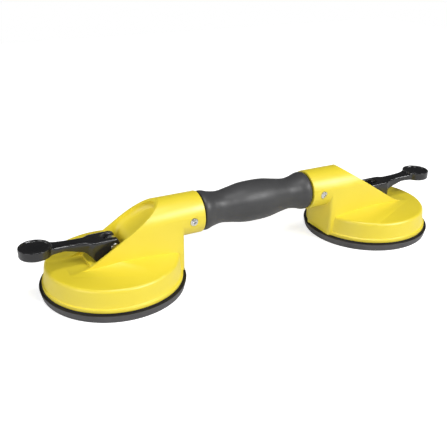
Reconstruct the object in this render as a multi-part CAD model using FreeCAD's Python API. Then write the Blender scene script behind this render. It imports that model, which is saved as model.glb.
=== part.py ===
import FreeCAD, Part

import math
import os

from FreeCAD import Vector

# Two-cup suction lifter for floor tiles and glass. Millimetres, +Z up, X along the handle.
# The origin is on the floor, midway between the cups. Each cup is drawn about its own axis
# with +X towards the handle, then set in place at the left, and turned round at the right.
# The levers are pressed down, so the stems are up and both pads are sucked hollow.

# --- Whole lifter -------------------------------------------------------------------------
cup_spacing = 263.0          # between the two cup axes
handle_height = 51.1         # of the handle's axis over the floor
running_gap = 0.05           # radial, a shaft in its hole
seat_gap = 0.2               # between pieces that lie on each other
cut_over = 40.0              # how far a cutting tool stands past what it cuts
overlap = 1.0                # of two solids that are joined into one

# --- Suction pad, moulded rubber ----------------------------------------------------------
pad_radius = 59.0            # on the floor
pad_flare = 1.3              # of the rim's side, which leans out as it rises
pad_rim_height = 7.6         # the housing stands on the rim
pad_rim_width = 9.0
pad_edge = 0.6               # bevel of the rim's outer corners
lip_width = 5.5              # flat sealing face on the floor
groove_width = 2.4           # ring groove inside the sealing face
groove_depth = 1.6
dome_height = 5.8            # hollow under the pad's middle with the lever down
pad_thickness = 4.2          # of the membrane
pad_seat_radius = 24.0       # flat on top, under the steel plate

# --- Plate, stem and nut, steel -----------------------------------------------------------
plate_radius = 22.0
plate_thickness = 2.0
stem_radius = 4.5
stem_head_radius = 8.0
stem_head_thickness = 1.5
washer_radius = 7.4
washer_thickness = 1.2
nut_width = 13.0             # across the flats
nut_height = 3.6
eye_radius = 5.3
eye_thickness = 8.0

# --- Pivot pin and its clip ---------------------------------------------------------------
pin_height = 38.2            # of the pivot over the floor, lever down
pin_radius = 2.5
pin_head_radius = 3.5
pin_head_thickness = 1.0
clip_radius = 4.2
clip_thickness = 0.7
clip_mouth = 3.4             # opening of the clip
pin_tail = 0.8               # of the pin past the clip

# --- Housing, moulded plastic -------------------------------------------------------------
rim_ledge = 2.7              # of the pad's rim left bare round the flange
flange_height = 2.8
flange_edge = 0.4            # rounding of the flange's top corner
foot_blend = 0.9             # concave blend from the flange to the wall
wall_lean = 1.8              # of the wall, from its foot in to the crease
crease_height = 25.5         # over the floor, also the flat floor of the lever pocket
crease_round = 3.0           # rounding of the crease, all the way round the deck
crown_rise = 4.0             # of the domed shoulder over the crease
wall = 3.0
deck_thickness = 4.0
shoulder_slope = 0.2         # rise of the front and back shoulders over their run
shoulder_start = (-43.0, 16.0)   # the shoulder's low edge runs from here
shoulder_end = (22.0, 47.0)      # to here
flank_blend = 7.0            # concave blend from shoulder to flank
end_flat = 0.4               # cut off the flange by the flat inner end
end_corner = 2.5
socket_radius = 18.0
socket_depth = 30.9          # of the handle tube in its socket
tube_stop = 3.0              # plastic left past the tube's end
mouth_edge = 0.6             # rounding of the socket's mouth
ramp_angle = 32.6            # slope of the face that falls away from the socket
ramp_height = 43.0           # of that face at the cup axis
ramp_blend = 41.0            # radius that turns the ramp into the flat deck
flank_taper = 2.5            # each flank comes in by this much
taper_length = 38.0          # over this length
rim_width = 2.0              # of the wall around the scoop and the pocket
scoop_depth = 5.5
scoop_round = 4.0
pocket_end = 9.6             # inner end of the lever pocket, from the cup axis
pocket_roll = 12.5           # radius that rolls the pocket's end over into the scoop
cam_bed_start = -22.0        # raised bed that the cams press on
cam_bed_height = 2.7
cam_bed_half = 11.0
guide_radius = 9.0           # boss that guides the stem
guide_drop = 3.3             # of the boss under the deck
rib_count = 8
rib_thickness = 2.2
rib_drop = 6.5

# --- Lever, moulded plastic ---------------------------------------------------------------
lever_swing = 95.0           # degrees from pressed down to fully raised
lever_lift = 5.0             # how much the cams lift the stem over that swing
cam_gap = 0.3                # between cam and bed
nose_fullness = 1.1          # how squarely the nose turns up into the fork's top
fork_half = 9.3
fork_back = -17.8            # outer end of the fork
fork_shoulder = 3.2          # slanted run from the fork in to the arm
fork_slot_half = 5.0
fork_slot_back = -9.5
fork_top = 7.5               # over the pivot
heel_start = -14.2           # outer end of the flat sole
arm_belly = ((-46.0, 3.3), (-38.0, 3.1), (-29.5, 0.7), (-23.4, -1.4), (-20.5, -4.1), (-17.6, -7.6))
arm_root_half = 6.5          # half width beside the fork
arm_waist = 5.5              # half width
arm_waist_at = -34.0
arm_end_half = 8.0
arm_crest_at = -46.0         # the arm's top rises to here
arm_step = 1.6               # of the arm's top under the paddle's rim
paddle_at = -60.8
paddle_radius = 12.7
paddle_sole = 3.0            # over the pivot
paddle_top = 10.5            # over the pivot
paddle_rim = 1.6
paddle_dish = 2.4

# --- Handle -------------------------------------------------------------------------------
tube_radius = 11.0
tube_wall = 1.5
grip_gap = 0.2               # between the grip's ends and the sockets
grip_length = 109.4          # between the sockets
grip_swell = ((0.0, 18.1), (12.0, 17.6), (24.0, 15.5), (34.0, 14.1), (42.5, 15.2), (48.5, 17.0))
grip_end_radius = 17.6

# --- Socket screws ------------------------------------------------------------------------
screw_setback = 10.9         # from the socket's mouth
screw_tilt = 3.0             # degrees below level
screw_radius = 2.0
screw_head_radius = 3.4
screw_head_thickness = 1.0
screw_head_dome = 1.1
screw_sunk = 0.9             # head's seat below the socket's surface
screw_length = 9.0

# --- Worked out from the above ------------------------------------------------------------
cup_x = cup_spacing / 2
socket_mouth = cup_x - grip_length / 2
tube_end = socket_mouth - socket_depth
screw_x = grip_length / 2 + screw_setback
pad_brim = pad_radius + pad_flare
flange_radius = pad_brim - rim_ledge
wall_foot_radius = flange_radius - flange_edge - foot_blend
crease_radius = wall_foot_radius - wall_lean
end_face = flange_radius - end_flat
flange_top = pad_rim_height + flange_height
wall_taper = (wall_foot_radius - crease_radius) / (crease_height - flange_top)
deck_under = crease_height - deck_thickness
guide_bottom = deck_under - guide_drop
pad_top = dome_height + pad_thickness
plate_bottom = pad_top + seat_gap
plate_top = plate_bottom + plate_thickness
washer_top = plate_top + washer_thickness
bed_top = crease_height + cam_bed_height
cam_reach = pin_height - bed_top - cam_gap
swing = math.radians(lever_swing)
cam_pitch = lever_lift / swing
ramp = math.radians(ramp_angle)
ceiling = handle_height + socket_radius + cut_over


def side(x, z):
    """A point of the plane that holds the cup's axis and the handle's axis."""
    return Vector(x, 0, z)


def plan(x, y):
    return Vector(x, y, 0)


def across(y, z):
    return Vector(0, y, z)


def outline(plane, start, *steps):
    """Closed wire of straight runs, given as (a, b), and arcs, given as (middle, end)."""
    edges = []
    here = plane(*start)
    for step in steps + (start,):
        if isinstance(step[0], tuple):
            there = plane(*step[1])
            edges.append(Part.Arc(here, plane(*step[0]), there).toShape())
        else:
            there = plane(*step)
            if here.distanceToPoint(there) < 1e-6:
                continue
            edges.append(Part.LineSegment(here, there).toShape())
        here = there
    return Part.Wire(edges)


def prism(wire, along, start=None):
    face = Part.Face(wire)
    if start is not None:
        face.translate(start)
    return face.extrude(along)


def turned(wire):
    """A solid of revolution about the cup's axis."""
    return Part.Face(wire).revolve(Vector(), Vector(0, 0, 1), 360)


def rod(radius, start, along):
    return Part.makeCylinder(radius, along.Length, start, along)


def block(low, high):
    size = Vector(*high) - Vector(*low)
    return Part.makeBox(size.x, size.y, size.z, Vector(*low))


def edges_where(shape, test):
    return [edge for edge in shape.Edges if test(edge)]


def ball_at(at, radius, edge, middle):
    """Height of a ball face that stands at one height on its axis and at another at a radius."""
    rise = middle - edge
    ball = (radius ** 2 + rise ** 2) / (2 * rise)
    return middle - ball + math.copysign(math.sqrt(ball ** 2 - at ** 2), ball)


def ball_arc(radius, edge, middle, outward=False):
    """Step of an outline along a ball face, in to the axis or out from it."""
    half_way = (radius / 2, ball_at(radius / 2, radius, edge, middle))
    return (half_way, (radius, edge)) if outward else (half_way, (0, middle))


def crown_at(radius):
    return ball_at(radius, crease_radius, crease_height, crease_height + crown_rise)


def wall_radius_at(z):
    return wall_foot_radius - wall_taper * (z - flange_top)


def flank_half_at(x):
    """Half width over the flanks, which come in towards the lever's end."""
    return socket_radius + min(x, 0.0) * flank_taper / taper_length


def scoop_at(x):
    """Height of the scoop's floor, which runs parallel to the ramp."""
    return ramp_height - scoop_depth / math.cos(ramp) + math.tan(ramp) * x


# --- Housing ------------------------------------------------------------------------------

def dish():
    """Round foot of the housing: flange, tapered wall, and a small blend between them."""
    ledge = flange_radius - flange_edge
    wall_start = flange_top + foot_blend
    near = 1 - math.sqrt(0.5)
    return turned(outline(
        side, (0, pad_rim_height), (flange_radius, pad_rim_height), (flange_radius, flange_top - flange_edge),
        ((flange_radius - near * flange_edge, flange_top - near * flange_edge), (ledge, flange_top)),
        ((wall_foot_radius + near * foot_blend, flange_top + near * foot_blend),
         (wall_radius_at(wall_start), wall_start)),
        (crease_radius, crease_height), (0, crease_height)))


def shoulder_cutter(hand):
    """Takes off all that stands over one sloping shoulder and over the flat deck beyond it."""
    start = plan(shoulder_start[0], hand * shoulder_start[1])
    end = plan(shoulder_end[0], hand * shoulder_end[1])
    along = (end - start).normalize()
    inward = Vector(0, 0, 1).cross(along) * -hand
    if inward.x < 0:
        inward = inward * -1
    reach = 3 * flange_radius
    corners = [
        start - inward * reach, start, start + inward * reach,
        start + inward * reach, start - inward * reach]
    heights = [crease_height, crease_height, crease_height + shoulder_slope * reach, ceiling, ceiling]
    wire = Part.makePolygon([Vector(c.x, c.y, h) for c, h in zip(corners + corners[:1], heights + heights[:1])])
    return prism(wire, along * (2 * reach), along * -reach)


def shoulders():
    """Domed deck, the lower part of the hood, and the concave blend between them."""
    over = flange_radius + cut_over
    deck = turned(outline(
        side, (0, pad_rim_height), (over, pad_rim_height), (over, crown_at(over)),
        ball_arc(over, crown_at(over), crown_at(0))))
    hood = hood_block(-over, over, pad_rim_height)
    body = deck.fuse(hood)

    def at_foot(edge):
        box = edge.BoundBox
        return (box.ZMin > crown_at(over) - 1 and box.ZMax < crown_at(0) + 1 and box.XLength > over
                and box.YMax * box.YMin > 0)

    body = body.makeFillet(flank_blend, edges_where(body, at_foot))
    wall_start = flange_top + foot_blend
    top = wall_radius_at(ceiling)
    inside_wall = turned(outline(
        side, (0, wall_start), (wall_radius_at(wall_start), wall_start), (top, ceiling), (0, ceiling)))
    body = body.common(inside_wall)
    return body


def hood_block(outer_end, inner_end, bottom, inset=0.0):
    """Everything between the two flanks, up to the handle's axis."""
    out = flank_half_at(outer_end) - inset
    full = socket_radius - inset
    wire = outline(plan, (outer_end, -out), (0, -full), (inner_end, -full), (inner_end, full), (0, full),
                   (outer_end, out))
    return prism(wire, Vector(0, 0, handle_height - bottom), Vector(0, 0, bottom))


def hood():
    """Flanks, arch and socket, before anything is cut out of them."""
    foot = hood_block(-crease_radius * math.cos(ramp), end_face, pad_rim_height)
    corners = edges_where(foot, lambda edge: edge.BoundBox.XLength < 1e-6 and edge.BoundBox.YLength < 1e-6
                          and edge.BoundBox.XMin > end_face - 1e-6)
    foot = foot.makeFillet(end_corner, corners)
    socket = rod(socket_radius, side(0, handle_height), Vector(socket_mouth, 0, 0))
    mouth = edges_where(socket, lambda edge: edge.BoundBox.XMin > socket_mouth - 1e-6)
    return foot.fuse(socket.makeFillet(mouth_edge, mouth))


def ramp_cutter():
    """What lies over the ramp and the flat deck, with the wide curve between them."""
    meet = (crease_height - ramp_height) / math.tan(ramp)
    run = ramp_blend * math.tan(ramp / 2)
    low = (meet - run, crease_height)
    high = (meet + run * math.cos(ramp), crease_height + run * math.sin(ramp))
    middle = (low[0] + ramp_blend * math.sin(ramp / 2),
              crease_height + ramp_blend * (1 - math.cos(ramp / 2)))
    far = (ceiling - ramp_height) / math.tan(ramp)
    reach = flange_radius + cut_over
    wire = outline(side, (-reach, crease_height), low, (middle, high), (far, ceiling), (-reach, ceiling))
    return prism(wire, Vector(0, 2 * reach, 0), Vector(0, -reach, 0))


def scoop_cutter():
    """Hollow of even depth under the ramp, with a round head below the socket's rim."""
    half = socket_radius - rim_width
    arch_start = (handle_height - ramp_height) / math.tan(ramp) / math.cos(ramp)
    arch = Part.Ellipse(Vector(), half / math.sin(ramp), half)
    head = Part.Arc(arch, -math.pi / 2, math.pi / 2).toShape()
    head.translate(Vector(arch_start, 0, 0))
    tail = arch_start - scoop_round
    sides = Part.makePolygon([plan(arch_start, half), plan(tail, half), plan(tail, -half), plan(arch_start, -half)])
    cutter = Part.Face(Part.Wire([head] + sides.Edges)).extrude(Vector(0, 0, scoop_depth + cut_over))
    rounded = edges_where(cutter, lambda edge: edge.BoundBox.ZMax < 1e-6 and edge.BoundBox.XMax > tail + 1e-6)
    cutter = cutter.makeFillet(scoop_round, rounded)
    cutter.translate(Vector(0, 0, -scoop_depth))
    cutter.rotate(Vector(), Vector(0, 1, 0), -ramp_angle)
    cutter.translate(Vector(0, 0, ramp_height))
    return cutter


def pocket_cutter():
    """Straight-sided pocket for the lever, whose end wall rolls over into the scoop's floor."""
    outer = -flange_radius - cut_over
    near = flank_half_at(outer) - rim_width
    full = socket_radius - rim_width
    centre = (pocket_end + pocket_roll,
              scoop_at(pocket_end) - pocket_roll * math.tan(math.pi / 4 - ramp / 2))

    def roll_at(angle, radius=pocket_roll):
        return (centre[0] + radius * math.cos(angle), centre[1] + radius * math.sin(angle))

    lean = math.pi / 2 + ramp
    top = roll_at(lean, pocket_roll + cut_over)
    profile = outline(side, (outer, crease_height), (pocket_end, crease_height), (pocket_end, centre[1]),
                      (roll_at((math.pi + lean) / 2), roll_at(lean)), top, (outer, top[1]))
    sides = outline(plan, (outer, -near), (0, -full), (centre[0], -full), (centre[0], full), (0, full),
                    (outer, near))
    cutter = prism(profile, Vector(0, 2 * full, 0), Vector(0, -full, 0))
    cutter = cutter.common(prism(sides, Vector(0, 0, top[1])))

    def at_end(edge):
        box = edge.BoundBox
        return (box.YLength < 1e-6 and box.XMin > pocket_end - 1e-6 and box.ZMin > crease_height - 1e-6
                and box.ZMax < roll_at(lean)[1] + 1e-6)

    return cutter.makeFillet(scoop_round, edges_where(cutter, at_end))


def cam_bed():
    """Raised bed under the cams, with its long sides sloped down to the pocket's walls."""
    toe = flank_half_at(cam_bed_start) - rim_width / 2
    wire = outline(across, (-toe, crease_height - deck_thickness / 2), (-toe, crease_height),
                   (-cam_bed_half, bed_top), (cam_bed_half, bed_top), (toe, crease_height),
                   (toe, crease_height - deck_thickness / 2))
    return prism(wire, Vector(pocket_end + overlap - cam_bed_start, 0, 0), Vector(cam_bed_start, 0, 0))


def underside_cutter():
    """Hollow of the dish, kept a wall away from the flat inner end."""
    inner_foot = flange_radius - wall
    bowl = turned(outline(side, (0, 0), (inner_foot, 0), (inner_foot, flange_top),
                          (wall_radius_at(deck_under) - wall, deck_under), (0, deck_under)))
    reach = flange_radius + cut_over
    return bowl.cut(block((end_face - wall, -reach, -overlap), (reach, reach, ceiling)))


def hood_hollow():
    """Space inside the hood, under the scoop and beside the end of the handle tube."""
    half = socket_radius - wall - scoop_round / 2
    start = pocket_end + 2 * wall
    under_tube = handle_height - tube_radius - wall
    skin = wall / math.cos(ramp)
    head = tube_end - tube_stop
    top = scoop_at(head - scoop_round) - skin
    inner = end_face - wall
    wire = outline(side, (start, deck_under - overlap), (inner, deck_under - overlap), (inner, under_tube),
                   (head, under_tube), (head, top), (head - scoop_round, top), (start, scoop_at(start) - skin))
    return prism(wire, Vector(0, 2 * half, 0), Vector(0, -half, 0))


def ribs():
    """Radial ribs under the deck, from the stem guide to the wall."""
    bottom = deck_under - rib_drop
    spoke = block((guide_radius - overlap, -rib_thickness / 2, bottom),
                  (wall_radius_at(bottom) - wall / 2, rib_thickness / 2, deck_under + overlap))
    spokes = []
    for turn in range(rib_count):
        rib = spoke.copy()
        rib.rotate(Vector(), Vector(0, 0, 1), (turn + 0.5) * 360 / rib_count)
        spokes.append(rib)
    return spokes


def housing():
    body = shoulders()
    body = body.cut(shoulder_cutter(-1)).cut(shoulder_cutter(1))
    body = body.fuse([dish(), hood()])
    body = body.cut(ramp_cutter())
    below_socket = handle_height - socket_radius
    body = body.cut(block((end_face, -flange_radius, 0), (flange_radius + overlap, flange_radius, below_socket)))
    body = body.cut([pocket_cutter(), scoop_cutter(), underside_cutter(), hood_hollow()])
    guide = rod(guide_radius, side(0, guide_bottom), Vector(0, 0, deck_under + overlap - guide_bottom))
    body = body.fuse([cam_bed(), guide] + ribs())
    stem_hole = rod(stem_radius + running_gap, side(0, 0), Vector(0, 0, bed_top + overlap))
    socket_bore = rod(tube_radius + running_gap, side(tube_end, handle_height), Vector(cut_over + socket_depth, 0, 0))
    body = body.cut([stem_hole, socket_bore]).removeSplitter()

    def at_crease(edge):
        middle = edge.valueAt((edge.FirstParameter + edge.LastParameter) / 2)
        return (abs(middle.z - crease_height) < running_gap
                and abs(math.hypot(middle.x, middle.y) - crease_radius) < running_gap)

    return body.makeFillet(crease_round, edges_where(body, at_crease))


# --- Suction pad --------------------------------------------------------------------------

def suction_pad():
    """Stiff rim, ring groove, and a membrane that the plate holds up in the middle."""
    inner = pad_radius - pad_rim_width
    lip = pad_radius - pad_edge - lip_width
    groove = lip - groove_width
    body = turned(outline(
        side, (0, dome_height), (pad_seat_radius, dome_height), (groove, groove_depth),
        (lip - groove_width / 2, groove_depth), (lip, 0), (pad_radius - pad_edge, 0), (pad_radius, pad_edge),
        (pad_brim, pad_rim_height - pad_edge), (pad_brim - pad_edge, pad_rim_height), (inner, pad_rim_height),
        (pad_seat_radius, pad_top), (0, pad_top)))
    pocket = rod(stem_head_radius + seat_gap, side(0, plate_bottom - stem_head_thickness - 2 * seat_gap),
                 Vector(0, 0, cut_over))
    return body.cut(pocket)


# --- Plate, stem, washer and nut ----------------------------------------------------------

def ring(outer, inner, bottom, thickness):
    up = Vector(0, 0, thickness)
    return rod(outer, side(0, bottom), up).cut(rod(inner, side(0, bottom), up))


def pad_plate():
    return ring(plate_radius, stem_radius + running_gap, plate_bottom, plate_thickness)


def stem_washer():
    return ring(washer_radius, stem_radius + running_gap, plate_top, washer_thickness)


def stem_nut():
    corner = nut_width / math.sqrt(3)
    points = [plan(corner * math.cos(math.radians(60 * k)), corner * math.sin(math.radians(60 * k)))
              for k in range(7)]
    nut = prism(Part.makePolygon(points), Vector(0, 0, nut_height), side(0, washer_top))
    return nut.cut(rod(stem_radius + running_gap, side(0, 0), Vector(0, 0, cut_over)))


def stem():
    head_bottom = plate_bottom - stem_head_thickness
    head = rod(stem_head_radius, side(0, head_bottom), Vector(0, 0, stem_head_thickness))
    shank = rod(stem_radius, side(0, head_bottom), Vector(0, 0, pin_height - head_bottom - pin_radius))
    eye = rod(eye_radius, Vector(0, -eye_thickness / 2, pin_height), Vector(0, eye_thickness, 0))
    bore = rod(pin_radius + running_gap, Vector(0, -cut_over, pin_height), Vector(0, 2 * cut_over, 0))
    return head.fuse([shank, eye]).cut(bore).removeSplitter()


# --- Pivot pin and clip -------------------------------------------------------------------

def pivot_pin():
    head_face = -fork_half - running_gap
    tail = fork_half + 2 * running_gap + clip_thickness + pin_tail
    shank = rod(pin_radius, Vector(0, head_face, pin_height), Vector(0, tail - head_face, 0))
    head = rod(pin_head_radius, Vector(0, head_face - pin_head_thickness, pin_height),
               Vector(0, pin_head_thickness, 0))
    return shank.fuse(head).removeSplitter()


def pin_clip():
    back = fork_half + running_gap
    thick = Vector(0, clip_thickness, 0)
    start = Vector(0, back, pin_height)
    clip = rod(clip_radius, start, thick).cut(rod(pin_radius + running_gap, start, thick))
    mouth = block((-clip_radius, back, pin_height - clip_mouth / 2), (0, back + clip_thickness,
                                                                   pin_height + clip_mouth / 2))
    return clip.cut(mouth)


# --- Lever --------------------------------------------------------------------------------

def cam_curve():
    """Cam flank whose reach under the pivot falls evenly with the lever's angle."""
    points = []
    steps = 8
    for step in range(steps + 1):
        angle = swing * step / steps
        reach = cam_reach - cam_pitch * angle
        points.append(side(reach * math.sin(angle) - cam_pitch * math.cos(angle),
                           -reach * math.cos(angle) - cam_pitch * math.sin(angle)))
    curve = Part.BSplineCurve()
    curve.interpolate(points)
    return curve.toShape(), points[0], points[-1]


def lever_profile():
    """Side view about the pivot: nose, cam, flat sole, heel, then the slender arm."""
    cam, sole_end, nose = cam_curve()
    top_end = side(0, fork_top)
    rise = side(math.cos(swing), math.sin(swing))
    nose_curve = Part.BezierCurve()
    nose_curve.setPoles([nose, nose + rise * nose.x, top_end + side(nose.x * nose_fullness, 0), top_end])
    belly = Part.BSplineCurve()
    belly.interpolate(Points=[side(*point) for point in arm_belly] + [side(heel_start, -cam_reach)],
                      InitialTangent=side(1, 0), FinalTangent=side(1, 0))
    arm_top = paddle_top - arm_step
    above = [top_end, side(fork_back, fork_top), side(arm_crest_at, arm_top), side(paddle_at, arm_top),
             side(paddle_at, paddle_sole), side(*arm_belly[0])]
    sole = Part.LineSegment(side(heel_start, -cam_reach), sole_end).toShape()
    edges = [cam, nose_curve.toShape(), belly.toShape(), sole] + Part.makePolygon(above).Edges
    return Part.Wire(Part.__sortEdges__(edges))


def lever_plan():
    """Top view about the pivot: the square fork, then an arm with a waist."""
    waist = Part.BSplineCurve()
    waist.interpolate([plan(fork_back - fork_shoulder, arm_root_half), plan(arm_waist_at, arm_waist),
                       plan(paddle_at + paddle_radius / 2, arm_end_half)])
    near = waist.toShape()
    far = near.mirror(Vector(), Vector(0, 1, 0))
    fork = Part.makePolygon([near.Vertexes[0].Point, plan(fork_back, fork_half), plan(cut_over, fork_half),
                             plan(cut_over, -fork_half), plan(fork_back, -fork_half), far.Vertexes[0].Point])
    end = Part.makePolygon([near.Vertexes[-1].Point, plan(paddle_at, arm_end_half),
                            plan(paddle_at, -arm_end_half), far.Vertexes[-1].Point])
    return Part.Wire(Part.__sortEdges__([near, far] + fork.Edges + end.Edges))


def lever():
    half = paddle_radius + overlap
    body = prism(lever_profile(), Vector(0, 2 * half, 0), Vector(0, -half, 0))
    body = body.common(prism(lever_plan(), Vector(0, 0, 2 * cut_over), Vector(0, 0, -cut_over)))
    paddle = rod(paddle_radius, side(paddle_at, paddle_sole), Vector(0, 0, paddle_top - paddle_sole))
    body = body.fuse(paddle).removeSplitter()
    slot = block((fork_slot_back + fork_slot_half, -fork_slot_half, -cut_over), (cut_over, fork_slot_half, cut_over))
    slot_end = rod(fork_slot_half, side(fork_slot_back + fork_slot_half, -cut_over), Vector(0, 0, 2 * cut_over))
    bore = rod(pin_radius + running_gap, Vector(0, -half, 0), Vector(0, 2 * half, 0))
    body = body.cut([slot, slot_end, bore, paddle_hollow()])
    body.translate(Vector(0, 0, pin_height))
    return body


def paddle_hollow():
    """Dished top of the paddle, inside its rim."""
    radius = paddle_radius - paddle_rim
    rim_foot = paddle_top - paddle_dish / 2
    hollow = turned(outline(side, (0, paddle_top - paddle_dish),
                            ball_arc(radius, rim_foot, paddle_top - paddle_dish, outward=True),
                            (radius, paddle_top + overlap), (0, paddle_top + overlap)))
    hollow.translate(side(paddle_at, 0))
    return hollow


# --- Handle -------------------------------------------------------------------------------

def handle_tube():
    reach = cup_x - tube_end - seat_gap
    start = Vector(-reach, 0, handle_height)
    along = Vector(2 * reach, 0, 0)
    tube = rod(tube_radius, start, along).cut(rod(tube_radius - tube_wall, start, along))
    for hand in (-1, 1):
        hole = rod(screw_radius + running_gap, Vector(), Vector(0, 0, cut_over))
        tube = tube.cut(at_screw(hole, hand))
    return tube


def handle_grip():
    """Sleeve with a swell for the palm and a flare at each end."""
    end = grip_length / 2 - grip_gap
    half = [side(x, radius) for x, radius in grip_swell] + [side(end, grip_end_radius)]
    curve = Part.BSplineCurve()
    curve.interpolate([side(-point.x, point.z) for point in reversed(half[1:])] + half)
    bore = tube_radius + running_gap
    closing = Part.makePolygon([half[-1], side(end, bore), side(-end, bore), side(-end, grip_end_radius)])
    face = Part.Face(Part.Wire([curve.toShape()] + closing.Edges))
    grip = face.revolve(Vector(), Vector(1, 0, 0), 360)
    grip.translate(side(0, handle_height))
    return grip


def at_screw(shape, hand):
    """Sets a shape that is drawn up from the handle's axis in place about a socket screw."""
    shape.rotate(Vector(), Vector(1, 0, 0), 90 + screw_tilt)
    shape.translate(Vector(hand * screw_x, 0, handle_height))
    return shape


def socket_screw(hand):
    """Domed screw through the front of a socket into the handle tube."""
    seat = socket_radius - screw_sunk
    rim = seat + screw_head_thickness
    head = turned(outline(side, (0, seat), (screw_head_radius, seat), (screw_head_radius, rim),
                          ball_arc(screw_head_radius, rim, rim + screw_head_dome)))
    shank = rod(screw_radius, Vector(0, 0, seat - screw_length), Vector(0, 0, screw_length))
    return at_screw(head.fuse(shank).removeSplitter(), hand)


def screw_hole(hand):
    """Clearance hole and flat seat for a socket screw."""
    hole = rod(screw_radius + running_gap, Vector(0, 0, tube_radius / 2), Vector(0, 0, cut_over))
    spot = rod(screw_head_radius + seat_gap, Vector(0, 0, socket_radius - screw_sunk), Vector(0, 0, cut_over))
    return at_screw(hole.fuse(spot), hand)


# --- Every piece in its place -------------------------------------------------------------

def placed(shape, hand):
    """Sets a piece drawn about its cup's axis at the left (-1) or the right (1) cup."""
    piece = shape.copy()
    if hand > 0:
        piece.rotate(Vector(), Vector(0, 0, 1), 180)
    piece.translate(Vector(hand * cup_x, 0, 0))
    return piece


def lifter():
    cup = {"suction_pad": suction_pad(), "pad_plate": pad_plate(), "stem": stem(), "stem_washer": stem_washer(),
           "stem_nut": stem_nut(), "pivot_pin": pivot_pin(), "pin_clip": pin_clip(), "lever": lever()}
    shell = housing()
    pieces = {}
    for name, hand in (("left", -1), ("right", 1)):
        for piece, shape in cup.items():
            pieces[piece + "_" + name] = placed(shape, hand)
        pieces["housing_" + name] = placed(shell, hand).cut(screw_hole(hand))
    pieces["handle_tube"] = handle_tube()
    pieces["handle_grip"] = handle_grip()
    pieces["socket_screws"] = Part.makeCompound([socket_screw(-1), socket_screw(1)])
    return pieces


os.makedirs("parts", exist_ok=True)
for node, shape in lifter().items():
    shape.exportStep("parts/" + node + ".step")
    print(node, shape.isValid(), len(shape.Solids), round(shape.Volume, 1))
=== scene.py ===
import math

import bmesh
import bpy
from mathutils import Matrix, Vector


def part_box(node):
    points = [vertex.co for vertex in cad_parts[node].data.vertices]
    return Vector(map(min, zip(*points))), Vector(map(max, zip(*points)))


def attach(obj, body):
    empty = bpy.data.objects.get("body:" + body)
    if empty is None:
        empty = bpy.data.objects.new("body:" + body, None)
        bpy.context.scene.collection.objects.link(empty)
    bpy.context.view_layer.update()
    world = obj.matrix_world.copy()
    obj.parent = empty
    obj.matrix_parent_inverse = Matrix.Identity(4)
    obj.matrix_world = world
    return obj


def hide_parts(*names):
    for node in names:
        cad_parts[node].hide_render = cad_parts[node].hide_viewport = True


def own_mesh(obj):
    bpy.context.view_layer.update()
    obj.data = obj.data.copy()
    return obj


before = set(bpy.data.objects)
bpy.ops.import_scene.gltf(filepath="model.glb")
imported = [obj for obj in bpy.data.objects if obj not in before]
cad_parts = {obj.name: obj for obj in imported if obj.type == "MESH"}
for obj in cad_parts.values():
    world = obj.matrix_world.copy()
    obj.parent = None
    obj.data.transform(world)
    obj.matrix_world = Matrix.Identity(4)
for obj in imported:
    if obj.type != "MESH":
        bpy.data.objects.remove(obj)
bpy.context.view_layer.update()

# --- Housings ---------------------------------------------------------------------------
# One satin yellow ABS moulding over each cup: dish, sloping hood and round handle socket.
# Every corner that a mould leaves soft is rolled over a little, and the inside stays open.

MM = 0.001
SIDES = ("left", "right")
HOUSING_ROUND = 0.5 * MM
HOUSING_SHARP = math.radians(24)
CORNER_STEPS = 3
SHADE_BREAK = math.radians(40)
WELD_REACH = 0.002 * MM
FLAT_ANGLE = math.radians(0.4)
YELLOW = (0.85, 0.69, 0.034, 1)
YELLOW_DEEP = (0.83, 0.665, 0.028, 1)


def link(piece):
    bpy.context.scene.collection.objects.link(piece)
    return piece


def clean_copy(node, name):
    """The CAD solid as one welded skin, with the cuts across its flat faces taken out."""
    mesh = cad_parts[node].data.copy()
    mesh.name = name
    skin = bmesh.new()
    skin.from_mesh(mesh)
    bmesh.ops.remove_doubles(skin, verts=skin.verts, dist=WELD_REACH)
    bmesh.ops.dissolve_limit(skin, angle_limit=FLAT_ANGLE, verts=skin.verts, edges=skin.edges)
    skin.to_mesh(mesh)
    skin.free()
    mesh.materials.clear()
    return link(bpy.data.objects.new(name, mesh))


def settle(piece):
    """Turns a piece's modifiers into its own plain mesh."""
    bpy.context.view_layer.update()
    finished = piece.evaluated_get(bpy.context.evaluated_depsgraph_get())
    done = bpy.data.meshes.new_from_object(finished)
    piece.modifiers.clear()
    piece.data = done
    return piece


def roll_corners(piece, width, sharp):
    """Rounds every edge that turns by more than the sharp angle."""
    bevel = piece.modifiers.new("rolled corners", "BEVEL")
    bevel.width = width
    bevel.segments = CORNER_STEPS
    bevel.limit_method = "ANGLE"
    bevel.angle_limit = sharp
    bevel.harden_normals = False
    bevel.use_clamp_overlap = True
    settle(piece)
    piece.data.shade_smooth()
    piece.data.set_sharp_from_angle(angle=SHADE_BREAK)
    return piece


def new_material(name):
    """An empty node material, with its tree, its surface shader and a coordinate source."""
    material = bpy.data.materials.new(name)
    material.use_nodes = True
    tree = material.node_tree
    tree.nodes.clear()
    out = tree.nodes.new("ShaderNodeOutputMaterial")
    skin = tree.nodes.new("ShaderNodeBsdfPrincipled")
    tree.links.new(skin.outputs["BSDF"], out.inputs["Surface"])
    place = tree.nodes.new("ShaderNodeTexCoord")
    return material, tree, skin, place.outputs["Object"]


def cloud(tree, place, scale, detail=3.0, rough=0.5):
    """Soft uneven pattern, with the scale in spots to the metre."""
    noise = tree.nodes.new("ShaderNodeTexNoise")
    noise.inputs["Scale"].default_value = scale
    noise.inputs["Detail"].default_value = detail
    noise.inputs["Roughness"].default_value = rough
    tree.links.new(place, noise.inputs["Vector"])
    return noise.outputs["Fac"]


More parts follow.
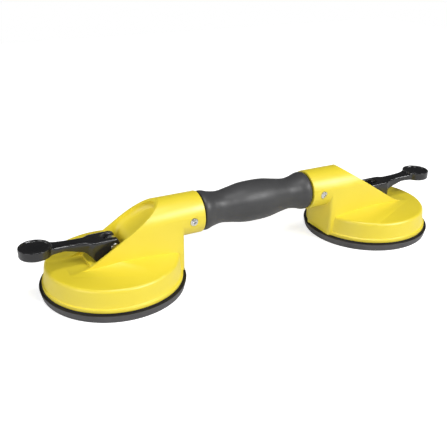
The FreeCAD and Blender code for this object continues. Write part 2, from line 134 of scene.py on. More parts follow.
def spread(tree, source, low, high, socket, start=0.3, end=0.7):
    """Maps a pattern, from its start to its end value, to a range of another socket."""
    ramp = tree.nodes.new("ShaderNodeMapRange")
    ramp.inputs["From Min"].default_value = start
    ramp.inputs["From Max"].default_value = end
    ramp.inputs["To Min"].default_value = low
    ramp.inputs["To Max"].default_value = high
    tree.links.new(source, ramp.inputs["Value"])
    tree.links.new(ramp.outputs["Result"], socket)


def tint(tree, source, first, second, socket, start=0.35, end=0.65):
    """Lets a pattern drift between two near colours, from its start to its end value."""
    ramp = tree.nodes.new("ShaderNodeValToRGB")
    ramp.color_ramp.elements[0].position = start
    ramp.color_ramp.elements[0].color = first
    ramp.color_ramp.elements[1].position = end
    ramp.color_ramp.elements[1].color = second
    tree.links.new(source, ramp.inputs["Fac"])
    tree.links.new(ramp.outputs["Color"], socket)


def grain(tree, height, depth, skin, strength=1.0):
    """Fine surface relief of the stated depth."""
    bump = tree.nodes.new("ShaderNodeBump")
    bump.inputs["Strength"].default_value = strength
    bump.inputs["Distance"].default_value = depth
    tree.links.new(height, bump.inputs["Height"])
    tree.links.new(bump.outputs["Normal"], skin.inputs["Normal"])


def yellow_plastic():
    material, tree, skin, place = new_material("yellow_plastic")
    tint(tree, cloud(tree, place, 14.0), YELLOW, YELLOW_DEEP, skin.inputs["Base Color"])
    spread(tree, cloud(tree, place, 60.0), 0.38, 0.46, skin.inputs["Roughness"])
    grain(tree, cloud(tree, place, 900.0, detail=2.0), 0.03 * MM, skin)
    skin.inputs["IOR"].default_value = 1.52
    skin.inputs["Specular IOR Level"].default_value = 0.9
    return material


housing_skin = yellow_plastic()
for side in SIDES:
    shell = clean_copy("housing_" + side, "housing_shell_" + side)
    roll_corners(shell, HOUSING_ROUND, HOUSING_SHARP)
    shell.data.materials.append(housing_skin)
    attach(shell, "frame")
    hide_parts("housing_" + side)

# --- Suction pads -----------------------------------------------------------------------
# Moulded black rubber: a rim with a flared side and a flat sealing lip, which stays under
# the housing, and a hollowed middle that the stem pulls up and lets down again.

PAD_STEPS = 192
GROWN_BREAK = math.radians(35)
RIM_FLARE = 1.3 * MM
RIM_TOP = 7.6 * MM
RIM_SHOULDER = 6.6 * MM
RIM_NECK = 1.9 * MM
RIM_NECK_SLOPE = 0.3 * MM
RIM_EDGE = 0.6 * MM
RIM_WIDTH = 9.0 * MM
RIM_INSIDE = (5.2 * MM, 4.0 * MM)
# Painted shade: the heights below the shoulder over which the rim turns to its near-black shade.
RECESS_SHADE_ENDS = (0.5 * MM, 0.1 * MM)
LIP_WIDTH = 5.5 * MM
GROOVE_WIDTH = 2.4 * MM
GROOVE_DEPTH = 1.6 * MM
GROOVE_WALL = 1.0 * MM
GROOVE_ROUND = (0.4 * MM, 1.2 * MM)
FOOT_TURN = (-80, -8, 4)
BRIM_TURN = (8, 90, 5)
GROOVE_TURN = (150, 20, 6)
SKIN_DOME = 5.8 * MM
SKIN_THICK = 1.7 * MM
SKIN_POINTS = 12
SEAT_RADIUS = 24.0 * MM
SEAT_TOP = 10.0 * MM
HEAD_POCKET = (8.2 * MM, 7.3 * MM)
RUBBER = (0.068, 0.066, 0.068, 1)
RUBBER_WORN = (0.092, 0.089, 0.091, 1)
# Painted shade: the near-black that the rim takes in the recess under the housing.
RUBBER_RECESS_SHADE = (0.010, 0.009, 0.009, 1)


def new_tree(name, sizes):
    """A node tree that starts from a drawn outline and takes the named sizes."""
    tree = bpy.data.node_groups.new(name, "GeometryNodeTree")
    tree.interface.new_socket("Geometry", in_out="OUTPUT", socket_type="NodeSocketGeometry")
    tree.interface.new_socket("Outline", in_out="INPUT", socket_type="NodeSocketGeometry")
    for label, kind in sizes:
        tree.interface.new_socket(label, in_out="INPUT", socket_type=kind)
    return tree, tree.nodes.new("NodeGroupInput"), tree.nodes.new("NodeGroupOutput")


def finish_tree(tree, shape, material, result):
    """Ends a tree in real geometry that carries its material."""
    real = tree.nodes.new("GeometryNodeRealizeInstances")
    paint = tree.nodes.new("GeometryNodeSetMaterial")
    paint.inputs["Material"].default_value = material
    tree.links.new(shape, real.inputs["Geometry"])
    tree.links.new(real.outputs["Geometry"], paint.inputs["Geometry"])
    tree.links.new(paint.outputs["Geometry"], result.inputs["Geometry"])


def swept_ring(name, material):
    """Tree that carries a closed outline, drawn as (radius, height), round a ring about Z."""
    sizes = (("Ring radius", "NodeSocketFloat"), ("Steps", "NodeSocketInt"))
    tree, given, result = new_tree(name, sizes)
    line = tree.nodes.new("GeometryNodeMeshToCurve")
    shifted = tree.nodes.new("GeometryNodeSetPosition")
    inward = tree.nodes.new("ShaderNodeCombineXYZ")
    minus = tree.nodes.new("ShaderNodeMath")
    minus.operation = "MULTIPLY"
    minus.inputs[1].default_value = -1.0
    ring = tree.nodes.new("GeometryNodeCurvePrimitiveCircle")
    sweep = tree.nodes.new("GeometryNodeCurveToMesh")
    tree.links.new(given.outputs["Ring radius"], minus.inputs[0])
    tree.links.new(minus.outputs["Value"], inward.inputs["X"])
    tree.links.new(given.outputs["Outline"], line.inputs["Mesh"])
    tree.links.new(line.outputs["Curve"], shifted.inputs["Geometry"])
    tree.links.new(inward.outputs["Vector"], shifted.inputs["Offset"])
    tree.links.new(given.outputs["Steps"], ring.inputs["Resolution"])
    tree.links.new(given.outputs["Ring radius"], ring.inputs["Radius"])
    tree.links.new(ring.outputs["Curve"], sweep.inputs["Curve"])
    tree.links.new(shifted.outputs["Geometry"], sweep.inputs["Profile Curve"])
    finish_tree(tree, sweep.outputs["Mesh"], material, result)
    return tree


def outline_mesh(name, profile, closed=True):
    """The outline as a chain of edges. Its heights run down, as the sweep turns them over."""
    count = len(profile)
    mesh = bpy.data.meshes.new(name)
    links = [(k, k + 1) for k in range(count - 1)] + ([(count - 1, 0)] if closed else [])
    mesh.from_pydata([(radius, -height, 0) for radius, height in profile], links, [])
    return mesh


def grown(name, tree, mesh, sizes):
    """Runs a tree on an outline and keeps the result as a plain, welded, outward-facing mesh."""
    piece = link(bpy.data.objects.new(name, mesh))
    maker = piece.modifiers.new("maker", "NODES")
    maker.node_group = tree
    for item in tree.interface.items_tree:
        if item.name in sizes:
            maker[item.identifier] = sizes[item.name]
    settle(piece)
    return weld(piece)


def weld(piece):
    """Closes the seams of a grown shape and turns its faces outwards."""
    skin = bmesh.new()
    skin.from_mesh(piece.data)
    bmesh.ops.remove_doubles(skin, verts=skin.verts, dist=WELD_REACH)
    bmesh.ops.recalc_face_normals(skin, faces=skin.faces)
    skin.to_mesh(piece.data)
    skin.free()
    piece.data.shade_smooth()
    piece.data.set_sharp_from_angle(angle=GROWN_BREAK)
    return piece


def moved(piece, offset):
    piece.data.transform(Matrix.Translation(offset))
    return piece


def arc_points(centre, radius, start, end, count):
    """Points along a round corner, from one angle to another in degrees."""
    across, up = centre
    turns = [math.radians(start + (end - start) * k / count) for k in range(count + 1)]
    return [(across + radius * math.cos(turn), up + radius * math.sin(turn)) for turn in turns]


def blend_in(value, start, end):
    """0 at the start and 1 at the end, with a soft run between them."""
    way = max(0.0, min(1.0, (value - start) / (end - start)))
    return way * way * (3 - 2 * way)


def pad_rubber():
    """Black rubber, grey on the open side, with painted shade in the recess under the housing."""
    material, tree, skin, place = new_material("pad_rubber")
    # Painted shade: above the shoulder the rubber turns near-black, for the shade in the recess
    # under the housing.
    recess_shade = tree.nodes.new("ShaderNodeMix")
    recess_shade.data_type = "RGBA"
    tint(tree, cloud(tree, place, 35.0), RUBBER, RUBBER_WORN, recess_shade.inputs["A"])
    recess_shade.inputs["B"].default_value = RUBBER_RECESS_SHADE
    split = tree.nodes.new("ShaderNodeSeparateXYZ")
    tree.links.new(place, split.inputs["Vector"])
    spread(tree, split.outputs["Z"], 0.0, 1.0, recess_shade.inputs["Factor"],
           RIM_SHOULDER - RECESS_SHADE_ENDS[0], RIM_SHOULDER - RECESS_SHADE_ENDS[1])
    tree.links.new(recess_shade.outputs["Result"], skin.inputs["Base Color"])
    spread(tree, cloud(tree, place, 120.0), 0.42, 0.54, skin.inputs["Roughness"])
    grain(tree, cloud(tree, place, 1400.0, detail=2.0), 0.04 * MM, skin)
    skin.inputs["Specular IOR Level"].default_value = 0.35
    return material


pad_skin = pad_rubber()
ring_tree = swept_ring("pad ring", pad_skin)
for side in SIDES:
    low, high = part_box("suction_pad_" + side)
    centre = Vector(((low.x + high.x) / 2, 0, 0))
    brim = (high.x - low.x) / 2
    foot = brim - RIM_FLARE
    lip_in = foot - RIM_EDGE - LIP_WIDTH
    groove_in = lip_in - GROOVE_WIDTH
    rim = [(lip_in, 0.0), (foot - RIM_EDGE, 0.0)]
    rim += arc_points((foot - RIM_EDGE, RIM_EDGE), RIM_EDGE, *FOOT_TURN)
    rim += arc_points((brim - RIM_EDGE, RIM_SHOULDER - RIM_EDGE), RIM_EDGE, *BRIM_TURN)
    neck = brim - RIM_NECK
    wall = groove_in - GROOVE_WALL
    rim += [(neck, RIM_SHOULDER), (neck - RIM_NECK_SLOPE, RIM_TOP), (foot - RIM_WIDTH, RIM_TOP),
            (foot - RIM_WIDTH, RIM_INSIDE[0]), (wall, RIM_INSIDE[1]), (wall, GROOVE_DEPTH)]
    rim += arc_points(((lip_in + groove_in) / 2, GROOVE_ROUND[0]), GROOVE_ROUND[1], *GROOVE_TURN)
    rim_piece = grown("pad_rim_" + side, ring_tree, outline_mesh("rim outline", rim),
                      {"Ring radius": brim, "Steps": PAD_STEPS})
    moved(rim_piece, centre)
    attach(rim_piece, "frame")
    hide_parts("suction_pad_" + side)

    under = []
    for k in range(SKIN_POINTS + 1):
        way = k / SKIN_POINTS
        under.append((groove_in + (SEAT_RADIUS - groove_in) * way,
                      GROOVE_DEPTH + (SKIN_DOME - GROOVE_DEPTH) * blend_in(way, 0, 1)))
    over = [(radius, height + SKIN_THICK) for radius, height in reversed(under)]
    pocket = [(0.0, HEAD_POCKET[1]), (HEAD_POCKET[0], HEAD_POCKET[1]), (HEAD_POCKET[0], SEAT_TOP),
              (SEAT_RADIUS - RIM_EDGE, SEAT_TOP), (SEAT_RADIUS, SEAT_TOP - RIM_EDGE)]
    middle = outline_mesh("skin outline", under + [(0.0, SKIN_DOME)] + pocket + over)
    skin_piece = grown("pad_skin_" + side, ring_tree, middle,
                       {"Ring radius": brim, "Steps": PAD_STEPS})
    moved(skin_piece, centre)
    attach(skin_piece, "frame")
    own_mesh(skin_piece)
    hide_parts("suction_pad_" + side)

# --- Steel inner pieces -----------------------------------------------------------------
# Zinc-plated plate, stem, washer, nut and pivot pin, and the handle's tube. Turned or
# stamped, with a fine brushed grain; the clip on the pin is darker, oiled spring steel.

ZINC = (0.78, 0.78, 0.76, 1)
ZINC_DULL = (0.64, 0.645, 0.64, 1)
SPRING = (0.16, 0.165, 0.17, 1)
SPRING_BRIGHT = (0.26, 0.265, 0.27, 1)
TURNED_ROUND = 0.25 * MM
TURNED_SHARP = math.radians(30)


def steel(name, first, second, low, high):
    """Finely brushed metal, with a roughness that drifts from low to high."""
    material, tree, skin, place = new_material(name)
    tint(tree, cloud(tree, place, 160.0, detail=4.0), first, second, skin.inputs["Base Color"])
    spread(tree, cloud(tree, place, 420.0), low, high, skin.inputs["Roughness"])
    grain(tree, cloud(tree, place, 2200.0, detail=1.0), 0.01 * MM, skin)
    skin.inputs["Metallic"].default_value = 1.0
    return material


plated = steel("plated_steel", ZINC, ZINC_DULL, 0.22, 0.36)
sprung = steel("spring_steel", SPRING, SPRING_BRIGHT, 0.3, 0.45)


def dress(node, material):
    """Gives a CAD piece whose shape is right its finish."""
    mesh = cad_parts[node].data
    mesh.materials.clear()
    mesh.materials.append(material)


dress("handle_tube", plated)
for side in SIDES:
    for piece in ("pad_plate_", "stem_washer_", "stem_nut_"):
        dress(piece + side, plated)
    dress("pin_clip_" + side, sprung)
    for piece in ("stem_", "pivot_pin_"):
        turned_piece = clean_copy(piece + side, piece + "finished_" + side)
        roll_corners(turned_piece, TURNED_ROUND, TURNED_SHARP)
        turned_piece.data.materials.append(plated)
        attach(turned_piece, "stem_" + side)
        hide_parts(piece + side)

# --- Levers -----------------------------------------------------------------------------
# Gloss black nylon mouldings: a forked foot whose two cheeks are the cams, a waisted arm and
# a round dished thumb pad with a raised rim. The long top edges are the softest.

LEVER_SKIN_STEP = 0.32 * MM
LEVER_ROUNDS = 24
LONG_EDGE_ROUNDS = 180
PADDLE_RADIUS = 12.7 * MM
PADDLE_CLEAR = (0.5 * MM, 4.0 * MM)
FORK_HALF = 9.3 * MM
FORK_ENDS = (42.8 * MM, 39.3 * MM)
ARM_HALF = 5.8 * MM
EDGE_BAND = (3.4 * MM, 1.3 * MM)
EDGE_DEPTH = (7.5 * MM, 5.5 * MM)
BLACK = (0.009, 0.009, 0.010, 1)
BLACK_GREY = (0.014, 0.014, 0.015, 1)


def black_plastic():
    material, tree, skin, place = new_material("black_plastic")
    tint(tree, cloud(tree, place, 40.0), BLACK, BLACK_GREY, skin.inputs["Base Color"])
    spread(tree, cloud(tree, place, 150.0), 0.17, 0.25, skin.inputs["Roughness"])
    grain(tree, cloud(tree, place, 700.0, detail=2.0), 0.012 * MM, skin)
    skin.inputs["IOR"].default_value = 1.50
    skin.inputs["Specular IOR Level"].default_value = 0.7
    return material


def even_skin(piece, step):
    """One closed skin of small, even faces, so that the corners can be eased over."""
    skin = piece.modifiers.new("even skin", "REMESH")
    skin.mode = "VOXEL"
    skin.voxel_size = step
    skin.use_smooth_shade = True


def ease_corners(piece, rounds, group=""):
    """Eases the corners over, as a mould does, or only those of a vertex group."""
    roll = piece.modifiers.new("rolled corners", "SMOOTH")
    roll.factor = 0.5
    roll.iterations = rounds
    roll.vertex_group = group
    settle(piece)


lever_skin = black_plastic()
for side in SIDES:
    arm = clean_copy("lever_" + side, "lever_arm_" + side)
    even_skin(arm, LEVER_SKIN_STEP)
    ease_corners(arm, LEVER_ROUNDS)
    low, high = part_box("lever_" + side)
    paddle = low.x + PADDLE_RADIUS if side == "left" else high.x - PADDLE_RADIUS
    long_edges = arm.vertex_groups.new(name="long edges")
    for point in arm.data.vertices:
        along, across, height = point.co.x - paddle, point.co.y, point.co.z
        half = FORK_HALF + (ARM_HALF - FORK_HALF) * blend_in(abs(along), *FORK_ENDS)
        share = (blend_in(abs(across), half - EDGE_BAND[0], half - EDGE_BAND[1])
                 * blend_in(height, high.z - EDGE_DEPTH[0], high.z - EDGE_DEPTH[1])
                 * blend_in(math.hypot(along, across) - PADDLE_RADIUS, *PADDLE_CLEAR))
        long_edges.add([point.index], share, "REPLACE")
    ease_corners(arm, LONG_EDGE_ROUNDS, long_edges.name)
    arm.vertex_groups.clear()
    arm.data.shade_smooth()
    arm.data.materials.append(lever_skin)
    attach(arm, "lever_" + side)
    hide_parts("lever_" + side)

# --- Handle grip ------------------------------------------------------------------------
# A soft dark grey sleeve pulled over the tube. It swells for the palm, has a waist at each
# side and flares to the sockets, so it is one turned form that follows a rule.

GRIP_GREY = (0.047, 0.047, 0.048, 1)
GRIP_LIGHT = (0.060, 0.060, 0.062, 1)
# Painted shade: the blacker tone in the step at each end of the grip.
GRIP_END_SHADE = (0.012, 0.012, 0.012, 1)
GRIP_SHAPE = ((0.0, 18.09), (12.0, 17.6), (24.0, 15.5), (34.0, 14.1), (42.5, 15.2),
              (48.5, 17.0), (53.3, 17.7))
GRIP_POINTS = 140
GRIP_STEPS = 128
GRIP_BORE = 11.05 * MM
GRIP_STEP = 1.1 * MM
GRIP_CORNER = 0.3 * MM
GRIP_SLOPE = 0.05 * MM
GRIP_END_SHADE_REACH = (1.7 * MM, 1.2 * MM)


def grip_radius(at):
    """Smooth run through the grip's stated half widths, the same to both sides of the middle."""
    points = [(-x, r) for x, r in reversed(GRIP_SHAPE[1:])] + list(GRIP_SHAPE)
    k = max(1, min(len(points) - 3, sum(1 for x, _ in points if x <= at) - 1))
    (x0, r0), (x1, r1), (x2, r2), (x3, r3) = points[k - 1:k + 3]
    way = (at - x1) / (x2 - x1)
    slope_in = (r2 - r0) / (x2 - x0) * (x2 - x1)
    slope_out = (r3 - r1) / (x3 - x1) * (x2 - x1)
    return ((2 * way ** 3 - 3 * way ** 2 + 1) * r1 + (way ** 3 - 2 * way ** 2 + way) * slope_in
            + (3 * way ** 2 - 2 * way ** 3) * r2 + (way ** 3 - way ** 2) * slope_out)


def grip_rubber(end):
    """Soft dark grey rubber, painted blacker near each end as the shade in the step there."""
    material, tree, skin, place = new_material("grip_rubber")
    shade = tree.nodes.new("ShaderNodeMix")
    shade.data_type = "RGBA"
    tint(tree, cloud(tree, place, 30.0), GRIP_GREY, GRIP_LIGHT, shade.inputs["A"])
    shade.inputs["B"].default_value = GRIP_END_SHADE
    # Painted shade: near each end the rubber turns blacker, for the shade in the step.
    split = tree.nodes.new("ShaderNodeSeparateXYZ")
    tree.links.new(place, split.inputs["Vector"])
    reach = tree.nodes.new("ShaderNodeMath")
    reach.operation = "ABSOLUTE"
    tree.links.new(split.outputs["X"], reach.inputs[0])
    spread(tree, reach.outputs["Value"], 0.0, 1.0, shade.inputs["Factor"],
           end - GRIP_END_SHADE_REACH[0], end - GRIP_END_SHADE_REACH[1])
    tree.links.new(shade.outputs["Result"], skin.inputs["Base Color"])
    spread(tree, cloud(tree, place, 90.0), 0.40, 0.48, skin.inputs["Roughness"])
    grain(tree, cloud(tree, place, 1500.0, detail=3.0), 0.06 * MM, skin)
    skin.inputs["Specular IOR Level"].default_value = 0.45
    return material


low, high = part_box("handle_grip")
grip_end = high.x
grip_height = (low.z + high.z) / 2
grip_tree = swept_ring("grip sleeve", grip_rubber(grip_end))
sleeve_end = GRIP_SHAPE[-1][0]
sleeve = []
for k in range(GRIP_POINTS + 1):
    at = -sleeve_end + 2 * sleeve_end * k / GRIP_POINTS
    sleeve.append((grip_radius(at) * MM, at * MM))
collar = sleeve[-1][0] - GRIP_STEP
step_at = sleeve[0][1] - GRIP_CORNER
lead = [(GRIP_BORE, -grip_end), (collar - GRIP_CORNER, -grip_end),
        (collar, -grip_end + GRIP_CORNER), (collar, step_at - GRIP_SLOPE),
        (collar + GRIP_STEP - GRIP_CORNER - GRIP_SLOPE, step_at)]
tail = [(radius, -at) for radius, at in reversed(lead)]
grip = grown("handle_grip_sleeve", grip_tree, outline_mesh("sleeve outline", lead + sleeve + tail),
             {"Ring radius": GRIP_BORE, "Steps": GRIP_STEPS})
lying = Matrix.Rotation(math.pi / 2, 4, "Y")
grip.data.transform(Matrix.Translation((0, 0, grip_height)) @ lying)
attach(grip, "frame")
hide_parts("handle_grip")

# --- Socket screws ----------------------------------------------------------------------
# One plated screw holds the tube in each socket from the front. Its head is a low dome with
# a cross drive, and faces a little below level.

SCREW_TILT = math.radians(3.0)
SCREW_SEAT = 17.1 * MM
SCREW_HEAD = 3.4 * MM
SCREW_SHANK = 2.0 * MM
SCREW_LENGTH = 9.0 * MM
SCREW_STEPS = 48
SCREW_POINT = 0.4 * MM
HEAD_BAND = 1.0 * MM
HEAD_CORNER = (0.2 * MM, 0.15 * MM)
HEAD_RISE = 1.1
HEAD_FALL = 0.095
HEAD_POINTS = (3.0, 2.5, 2.0, 1.5, 1.0, 0.5, 0.0)
TURN_CORE = 0.001 * MM
TURN_WELD = 0.005 * MM
CUTTER_HEIGHT = 4.0 * MM
DRIVE_WIDTH = 0.7 * MM
DRIVE_REACH = 2.8 * MM
DRIVE_LIFT = 2.0 * MM


def screw_pair(name, material):
    """Tree that turns one screw about Z, cuts its cross drive, and sets it in both sockets."""
    lengths = ("Apart", "Axis height", "Tilt", "Drive width", "Drive reach", "Drive floor")
    sizes = [("Steps", "NodeSocketInt")] + [(label, "NodeSocketFloat") for label in lengths]
    tree, given, result = new_tree(name, sizes)
    line = tree.nodes.new("GeometryNodeMeshToCurve")
    ring = tree.nodes.new("GeometryNodeCurvePrimitiveCircle")
    ring.inputs["Radius"].default_value = TURN_CORE
    turn = tree.nodes.new("GeometryNodeCurveToMesh")
    close = tree.nodes.new("GeometryNodeMergeByDistance")
    close.inputs["Distance"].default_value = TURN_WELD
    tree.links.new(given.outputs["Outline"], line.inputs["Mesh"])
    tree.links.new(given.outputs["Steps"], ring.inputs["Resolution"])
    tree.links.new(ring.outputs["Curve"], turn.inputs["Curve"])
    tree.links.new(line.outputs["Curve"], turn.inputs["Profile Curve"])
    tree.links.new(turn.outputs["Mesh"], close.inputs["Geometry"])
    cut = tree.nodes.new("GeometryNodeMeshBoolean")
    cut.operation = "DIFFERENCE"
    tree.links.new(close.outputs["Geometry"], cut.inputs["Mesh 1"])
    for axes in (("Drive reach", "Drive width"), ("Drive width", "Drive reach")):
        size = tree.nodes.new("ShaderNodeCombineXYZ")
        size.inputs["Z"].default_value = CUTTER_HEIGHT
        slot = tree.nodes.new("GeometryNodeMeshCube")
        lift = tree.nodes.new("GeometryNodeTransform")
        up = tree.nodes.new("ShaderNodeCombineXYZ")
        tree.links.new(given.outputs[axes[0]], size.inputs["X"])
        tree.links.new(given.outputs[axes[1]], size.inputs["Y"])
        tree.links.new(size.outputs["Vector"], slot.inputs["Size"])
        tree.links.new(given.outputs["Drive floor"], up.inputs["Z"])
        tree.links.new(slot.outputs["Mesh"], lift.inputs["Geometry"])
        tree.links.new(up.outputs["Vector"], lift.inputs["Translation"])
        tree.links.new(lift.outputs["Geometry"], cut.inputs["Mesh 2"])
    spots = tree.nodes.new("GeometryNodeMeshLine")
    spots.mode = "END_POINTS"
    spots.inputs["Count"].default_value = 2
    start = tree.nodes.new("ShaderNodeCombineXYZ")
    stop = tree.nodes.new("ShaderNodeCombineXYZ")
    half = tree.nodes.new("ShaderNodeMath")
    half.operation = "DIVIDE"
    half.inputs[1].default_value = -2.0
    other = tree.nodes.new("ShaderNodeMath")
    other.operation = "DIVIDE"
    other.inputs[1].default_value = 2.0
    tree.links.new(given.outputs["Apart"], half.inputs[0])
    tree.links.new(given.outputs["Apart"], other.inputs[0])
    tree.links.new(half.outputs["Value"], start.inputs["X"])
    tree.links.new(other.outputs["Value"], stop.inputs["X"])
    for end in (start, stop):
        tree.links.new(given.outputs["Axis height"], end.inputs["Z"])
    tree.links.new(start.outputs["Vector"], spots.inputs["Start Location"])
    tree.links.new(stop.outputs["Vector"], spots.inputs["Offset"])
    lean = tree.nodes.new("ShaderNodeCombineXYZ")
    tree.links.new(given.outputs["Tilt"], lean.inputs["X"])
    stand = tree.nodes.new("FunctionNodeEulerToRotation")
    tree.links.new(lean.outputs["Vector"], stand.inputs["Euler"])
    seat = tree.nodes.new("GeometryNodeInstanceOnPoints")
    tree.links.new(spots.outputs["Mesh"], seat.inputs["Points"])
    tree.links.new(cut.outputs["Mesh"], seat.inputs["Instance"])
    tree.links.new(stand.outputs["Rotation"], seat.inputs["Rotation"])
    finish_tree(tree, seat.outputs["Instances"], material, result)
    return tree


def put_in_order(piece, material):
    """Sorts the points and faces by their place, as a cut leaves them in any order."""
    mesh = piece.data
    points = sorted(range(len(mesh.vertices)), key=lambda k: tuple(mesh.vertices[k].co))
    rank = {old: new for new, old in enumerate(points)}
    faces = []
    for face in mesh.polygons:
        corners = [rank[k] for k in face.vertices]
        first = corners.index(min(corners))
        faces.append(corners[first:] + corners[:first])
    piece.data = bpy.data.meshes.new(mesh.name)
    piece.data.from_pydata([mesh.vertices[k].co for k in points], [], sorted(faces))
    piece.data.materials.append(material)
    return weld(piece)


low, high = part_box("socket_screws")
screw_half = (high.x - low.x) / 2 - SCREW_HEAD
crown = SCREW_SEAT + HEAD_BAND
tip = SCREW_SEAT - SCREW_LENGTH
screw = [(0.0, tip), (SCREW_SHANK - SCREW_POINT, tip), (SCREW_SHANK, tip + SCREW_POINT),
         (SCREW_SHANK, SCREW_SEAT), (SCREW_HEAD, SCREW_SEAT), (SCREW_HEAD, crown - HEAD_CORNER[0]),
         (SCREW_HEAD - HEAD_CORNER[1], crown + HEAD_CORNER[1])]
for radius in HEAD_POINTS:
    screw.append((radius * MM, crown + (HEAD_RISE - HEAD_FALL * radius * radius) * MM))
screws = grown("socket_screw_pair", screw_pair("socket screws", plated),
               outline_mesh("screw outline", screw, closed=False),
               {"Steps": SCREW_STEPS, "Apart": 2 * screw_half, "Axis height": grip_height,
                "Tilt": math.pi / 2 + SCREW_TILT, "Drive width": DRIVE_WIDTH,
                "Drive reach": DRIVE_REACH, "Drive floor": crown + DRIVE_LIFT})
put_in_order(screws, plated)
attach(screws, "frame")
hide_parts("socket_screws")

# --- Floor, light and camera ------------------------------------------------------------
# A plain pale floor under one broad softbox at the front right, with weaker ones at the left,
# above and behind. White lies behind the lifter, and the floor keeps its shadow.

FLOOR_SIZE = 2.4
FLOOR_DROP = -0.05 * MM
FLOOR_LIFT = 0.70
FLOOR_GLOSS = 0.20
FLOOR_SHADE = (0.74, 0.74, 0.74, 1)
LIFT_ENDS = (0.3, 0.8)
WHITE = (1, 1, 1, 1)
HORIZON_GLOSS = 0.8
OVERHEAD_GLOSS = 0.05
HORIZON_TOP = 0.12
ROOM_LEVEL = 0.08


def white_floor():
    """Pale matte floor. Seen directly it is lifted towards white, and more so far away, and a
    part of that lift shows in gloss."""
    material = bpy.data.materials.new("pale_floor")
    material.use_nodes = True
    tree = material.node_tree
    tree.nodes.clear()
    out = tree.nodes.new("ShaderNodeOutputMaterial")
    matte = tree.nodes.new("ShaderNodeBsdfDiffuse")
    matte.inputs["Color"].default_value = FLOOR_SHADE
    lift = tree.nodes.new("ShaderNodeEmission")
    place = tree.nodes.new("ShaderNodeTexCoord")
    away = tree.nodes.new("ShaderNodeVectorMath")
    away.operation = "LENGTH"
    tree.links.new(place.outputs["Object"], away.inputs["Vector"])
    spread(tree, away.outputs["Value"], FLOOR_LIFT, 1.0, lift.inputs["Strength"], *LIFT_ENDS)
    both = tree.nodes.new("ShaderNodeAddShader")
    tree.links.new(matte.outputs["BSDF"], both.inputs[0])
    tree.links.new(lift.outputs["Emission"], both.inputs[1])
    seen = tree.nodes.new("ShaderNodeLightPath")
    choice = tree.nodes.new("ShaderNodeMixShader")
    mirror = tree.nodes.new("ShaderNodeMath")
    mirror.operation = "MULTIPLY_ADD"
    mirror.inputs[1].default_value = FLOOR_GLOSS
    tree.links.new(seen.outputs["Is Glossy Ray"], mirror.inputs[0])
    tree.links.new(seen.outputs["Is Transmission Ray"], mirror.inputs[2])
    straight = tree.nodes.new("ShaderNodeMath")
    straight.operation = "MAXIMUM"
    tree.links.new(seen.outputs["Is Camera Ray"], straight.inputs[0])
    tree.links.new(mirror.outputs["Value"], straight.inputs[1])
    tree.links.new(straight.outputs["Value"], choice.inputs["Fac"])
    tree.links.new(matte.outputs["BSDF"], choice.inputs[1])
    tree.links.new(both.outputs["Shader"], choice.inputs[2])
    tree.links.new(choice.outputs["Shader"], out.inputs["Surface"])
    return material


floor_mesh = bpy.data.meshes.new("floor")
half = FLOOR_SIZE / 2
corners = [(x * half, y * half, FLOOR_DROP) for x, y in ((-1, -1), (1, -1), (1, 1), (-1, 1))]
floor_mesh.from_pydata(corners, [], [(0, 1, 2, 3)])
floor = link(bpy.data.objects.new("floor", floor_mesh))
floor_mesh.materials.append(white_floor())

world = bpy.data.worlds.new("studio")
bpy.context.scene.world = world
world.use_nodes = True
sky = world.node_tree
sky.nodes.clear()
sky_out = sky.nodes.new("ShaderNodeOutputWorld")
room = sky.nodes.new("ShaderNodeBackground")
room.inputs["Color"].default_value = WHITE
room.inputs["Strength"].default_value = ROOM_LEVEL
backdrop = sky.nodes.new("ShaderNodeBackground")
backdrop.inputs["Color"].default_value = WHITE
backdrop.inputs["Strength"].default_value = 1.0
mirrored = sky.nodes.new("ShaderNodeBackground")
mirrored.inputs["Color"].default_value = WHITE
way = sky.nodes.new("ShaderNodeTexCoord")
height = sky.nodes.new("ShaderNodeSeparateXYZ")
sky.links.new(way.outputs["Generated"], height.inputs["Vector"])
spread(sky, height.outputs["Z"], HORIZON_GLOSS, OVERHEAD_GLOSS, mirrored.inputs["Strength"],
       0.0, HORIZON_TOP)
path = sky.nodes.new("ShaderNodeLightPath")
direct = sky.nodes.new("ShaderNodeMath")
direct.operation = "MAXIMUM"
sky.links.new(path.outputs["Is Camera Ray"], direct.inputs[0])
sky.links.new(path.outputs["Is Transmission Ray"], direct.inputs[1])
lit = sky.nodes.new("ShaderNodeMixShader")
sky.links.new(path.outputs["Is Glossy Ray"], lit.inputs["Fac"])
sky.links.new(room.outputs["Background"], lit.inputs[1])
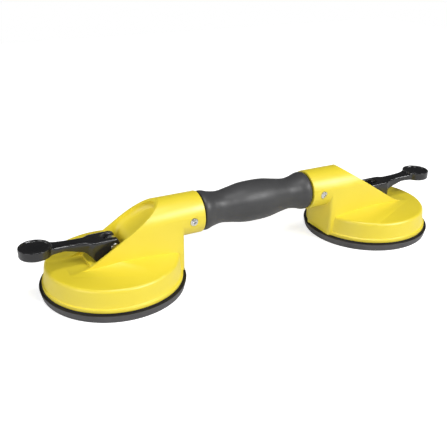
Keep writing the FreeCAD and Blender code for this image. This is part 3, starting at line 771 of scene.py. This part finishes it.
sky.links.new(mirrored.outputs["Background"], lit.inputs[2])
pick = sky.nodes.new("ShaderNodeMixShader")
sky.links.new(direct.outputs["Value"], pick.inputs["Fac"])
sky.links.new(lit.outputs["Shader"], pick.inputs[1])
sky.links.new(backdrop.outputs["Background"], pick.inputs[2])
sky.links.new(pick.outputs["Shader"], sky_out.inputs["Surface"])


def softbox(name, place, width, height, power, aim=(0, 0, 0.03)):
    """A soft lamp of the stated size in metres, turned to the lifter."""
    lamp = bpy.data.lights.new(name, "AREA")
    lamp.shape = "RECTANGLE"
    lamp.size = width
    lamp.size_y = height
    lamp.energy = power
    light = link(bpy.data.objects.new(name, lamp))
    light.location = place
    light.rotation_euler = (Vector(aim) - Vector(place)).to_track_quat("-Z", "Y").to_euler()


softbox("key", (1.22, -1.85, 1.60), 1.5, 0.6, 57.0)
softbox("left fill", (-1.25, -0.55, 0.5), 0.7, 0.7, 6.0)
softbox("top", (-0.15, -0.6, 2.4), 0.6, 0.6, 20.0)
softbox("back fill", (-1.7, 1.0, 1.2), 0.8, 0.8, 8.0)

AZIMUTH, ELEVATION, ROLL = (math.radians(a) for a in (-28.24, 25.08, 0.76))
TARGET = Vector((-0.02866, 0.0, 0.03389))
DISTANCE = 0.5677
LENS = 51.86
SENSOR = 36.0
back = Vector((math.sin(AZIMUTH) * math.cos(ELEVATION), -math.cos(AZIMUTH) * math.cos(ELEVATION),
               math.sin(ELEVATION)))
level = Vector((math.cos(AZIMUTH), math.sin(AZIMUTH), 0))
rise = back.cross(level)
right = level * math.cos(ROLL) + rise * math.sin(ROLL)
up = rise * math.cos(ROLL) - level * math.sin(ROLL)
lens = bpy.data.cameras.new("camera")
lens.lens = LENS
lens.sensor_width = SENSOR
lens.clip_start = 0.01
camera = link(bpy.data.objects.new("camera", lens))
turn = Matrix((right, up, back)).transposed().to_4x4()
camera.matrix_world = Matrix.Translation(TARGET + back * DISTANCE) @ turn
bpy.context.scene.camera = camera
bpy.context.scene.view_settings.view_transform = "Standard"
